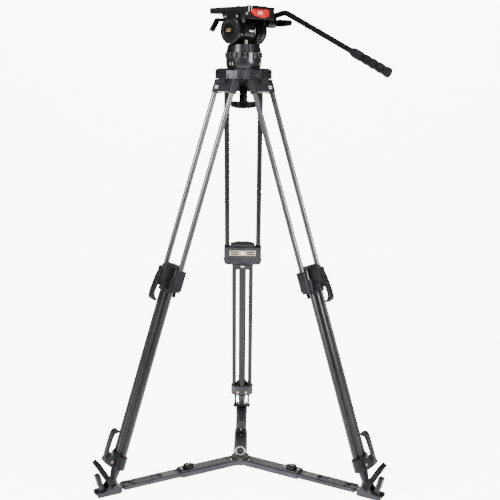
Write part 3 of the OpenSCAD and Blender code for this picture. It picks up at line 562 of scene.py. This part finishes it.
def cover_fittings(side, side_name):
    """Rim, badge and plain two-bar emblem on a side cover, and the screws on the cheek above it."""
    out = (side, 0, 0)
    face = facing(TILT @ shift(side * COVER_X, 0, 0), out)
    piece(f"cover_ring_{side_name}", lathe([(20.8, 0), (21.5, 0), (21.5, 0.6), (20.8, 0.6)], 64), face,
          "tilt", GREY_PLATE)
    piece(f"cover_badge_{side_name}", lathe([(19.5, 0), (19.5, 0.4), (19.0, 0.8), (0, 0.8)], 64), face,
          "tilt", BLACK_PLASTIC)
    low, high = sorted((side * (COVER_X + 0.6), side * (COVER_X + 0.97)))
    bars = [box((low, y, z), (high, y + 17, z + 3)) for y, z in ((-9, 1.4), (-6, -3.6))]
    piece(f"cover_emblem_{side_name}", many(bars), TILT, "tilt", BRASS)
    for tag, y in (("a", -25), ("b", 20)):
        piece(f"cheek_screw_{side_name}_{tag}", screw_head(3.4, 2.2),
              facing(TILT @ shift(side * 51.9, y, 37), out), "tilt", STEEL)


def ball_marks():
    """White index lines on the half ball, each group at its angle round the axis."""
    for i, (azimuth, offsets) in enumerate(((-133, (-4.5, 4.5)), (-27, (0,)), (100, (-4.5, 4.5)))):
        marks = [box((48.9, -0.8 + d, 1194.2), (50.15, 0.8 + d, 1202)) for d in offsets]
        piece(f"ball_marks_{i}", many(marks), turn("Z", azimuth), "ball", WHITE)


def level_glass():
    """Bubble under its window."""
    piece("level_glass", lathe([(3.6, 0), (3.6, 1.6), (2.6, 2.2), (0, 2.4)], 32),
          HEAD @ shift(-25.7, -33.9, 1260.2), "pan", LIQUID, smooth=True)


def plate_lever_fittings():
    """Ribs and two plain chevrons on the plate's lock lever."""
    ribs = [box((0.5 + i * 3.4, -80.6, 1326), (2.0 + i * 3.4, -79.2, 1341)) for i in range(5)]
    piece("lever_ribs", many(ribs), HEAD, "plate_lever", RED_PLASTIC)
    marks = [prism([(x, 0), (x + 4, 0), (x + 8, 4.5), (x + 4, 9), (x, 9), (x + 4, 4.5)], 0, 0.4)
             for x in (-25, -15)]
    piece("lever_marks", many(marks), HEAD @ shift(-7, -83.4, 1329) @ turn("X", 90), "plate_lever",
          WHITE)


def plate_strips():
    """Rubber strips on the camera plate."""
    for side, tag in SIDES:
        x = side * 16
        head_box(f"plate_strip_{tag}", (x - 6, -60, STRIP_Z), (x + 6, 75, STRIP_Z + 1), "plate",
                 PAD_RUBBER, 0.2)


for k in LEG_TURN:
    leg_fittings(k)
    spreader_fittings(k)
platform_fittings()
drum_marks()
cover_fittings(-1, "left")
cover_fittings(1, "right")
ball_marks()
level_glass()
plate_lever_fittings()
plate_strips()


def scalloped_grip():
    """Grip with finger rolls, thick at its cap and waisted at its neck."""
    profile = [(8.0, 0.4), (12.2, 0.2), (13.3, 1.4), (13.4, 6.0)]
    start, roll, roll_height, taper = 8, 24, 0.9, 0.0072
    for i in range(61):
        z = start + i * 1.9
        wave = roll_height * math.cos((z - start) * 2 * math.pi / roll) if z < 110 else roll_height
        profile.append((12.4 + wave - taper * max(0, z - 60), z))
    profile += [(11.4, 128), (9.6, 134.5), (8.0, 135.6)]
    return lathe(profile, 64)


bend = math.radians(BAR_BEND)
grip_frame = (HEAD @ shift(*BAR_START) @ turn("X", -BAR_RISE) @ shift(0, -BAR_FIRST, -BEND_R)
              @ shift(0, -BEND_R * math.sin(bend), BEND_R * math.cos(bend)) @ turn("X", BAR_BEND)
              @ shift(0, -BAR_SECOND, 0) @ turn("X", -90))
grip = piece("grip_cover", scalloped_grip(), grip_frame, "bar", GRIP_RUBBER, smooth=True)
piece("grip_cap", lathe([(0, 0.3), (9, 0.3), (9, 0), (0, 0)], 48), grip_frame, "bar",
      PAD_RUBBER)
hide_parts("pan_bar_grip")


# ---------- studio ----------

# Strength of the floor's and wall's glow where they are seen
SWEEP_GLOW = 8.0
# The camera: its place, how far it looks down and how far it is rolled, in radians
CAMERA_PLACE = (0.0233, -2.58, 1.1795)
CAMERA_DOWN = 0.1966
CAMERA_ROLL = 0.0105


def sweep_material():
    """Pale, faintly uneven surface that glows under and behind the object, but not in front of it."""
    g = Graph("sweep")
    soft = g.noise(0.7, 2)
    fine = g.noise(40, 3)
    color = g.mix(g.ramp(soft, 0.3, 0.7), (0.86, 0.86, 0.86), (0.9, 0.9, 0.9))
    g.put(g.shader.inputs["Emission Color"], (1.0, 1.0, 1.0))
    place = g.add("ShaderNodeSeparateXYZ")
    g.put(place.inputs[0], g.coord)
    depth = g.ramp(place.outputs["Y"], -0.33, -0.26)
    width = g.ramp(g.math("ABSOLUTE", place.outputs["X"]), 2.3, 3.2, 1.0, 0.0)
    height = g.ramp(place.outputs["Z"], 1.8, 1.9, 1.0, 0.0)
    glow = g.math("MULTIPLY", g.math("MULTIPLY", depth, width), height)
    g.put(g.shader.inputs["Emission Strength"], g.math("MULTIPLY", glow, SWEEP_GLOW))
    shine = g.ramp(fine, 0.3, 0.7, 0.8, 0.9)
    return g.finish(color, shine, 0.0, g.bump(fine, 0.05, 0.0002), Specular_IOR_Level=0.1)


def sweep():
    """Floor that curves up into a wall behind the object; sizes in metres."""
    half_width, front, curve_start, curve_r, wall_top = 9.0, -6.0, 3.0, 2, 9.0
    line = [(front, 0.0), (curve_start, 0.0)]
    for angle in [math.radians(t) for t in range(6, 91, 6)]:
        line.append((curve_start + curve_r * math.sin(angle), curve_r - curve_r * math.cos(angle)))
    line.append((curve_start + curve_r, wall_top))
    points = [(x, y, z) for y, z in line for x in (-half_width, half_width)]
    faces = [(2 * i, 2 * i + 1, 2 * i + 3, 2 * i + 2) for i in range(len(line) - 1)]
    mesh = bpy.data.meshes.new("studio_sweep")
    mesh.from_pydata(points, [], faces)
    for face in mesh.polygons:
        face.use_smooth = True
    obj = bpy.data.objects.new("studio_sweep", mesh)
    bpy.context.scene.collection.objects.link(obj)
    obj.data.materials.append(sweep_material())


sweep()

world = bpy.data.worlds.new("studio")
bpy.context.scene.world = world
world.use_nodes = True
world.node_tree.nodes["Background"].inputs[0].default_value = (1, 1, 1, 1)
world.node_tree.nodes["Background"].inputs[1].default_value = 0.3


def light(name, place, target, size, power):
    """Square soft box aimed at a point."""
    data = bpy.data.lights.new(name, "AREA")
    data.shape, data.size, data.energy = "SQUARE", size, power
    lamp = bpy.data.objects.new(name, data)
    bpy.context.scene.collection.objects.link(lamp)
    lamp.location = place
    lamp.rotation_euler = (Vector(target) - Vector(place)).to_track_quat("-Z", "Y").to_euler()


light("key", (-2.2, -2.4, 2.4), (0, 0, 0.9), 0.8, 170)
light("fill", (2.4, -2.2, 1.6), (0, 0, 0.8), 0.7, 110)
light("top", (0.3, -0.9, 3.4), (0, 0, 1.2), 1.0, 60)

camera_data = bpy.data.cameras.new("camera")
camera_data.sensor_width = 36
camera_data.lens = 64.8
camera = bpy.data.objects.new("camera", camera_data)
bpy.context.scene.collection.objects.link(camera)
camera.matrix_world = (Matrix.Translation(CAMERA_PLACE) @ turn("X", 90 - math.degrees(CAMERA_DOWN))
                       @ turn("Z", math.degrees(CAMERA_ROLL)))
bpy.context.scene.camera = camera
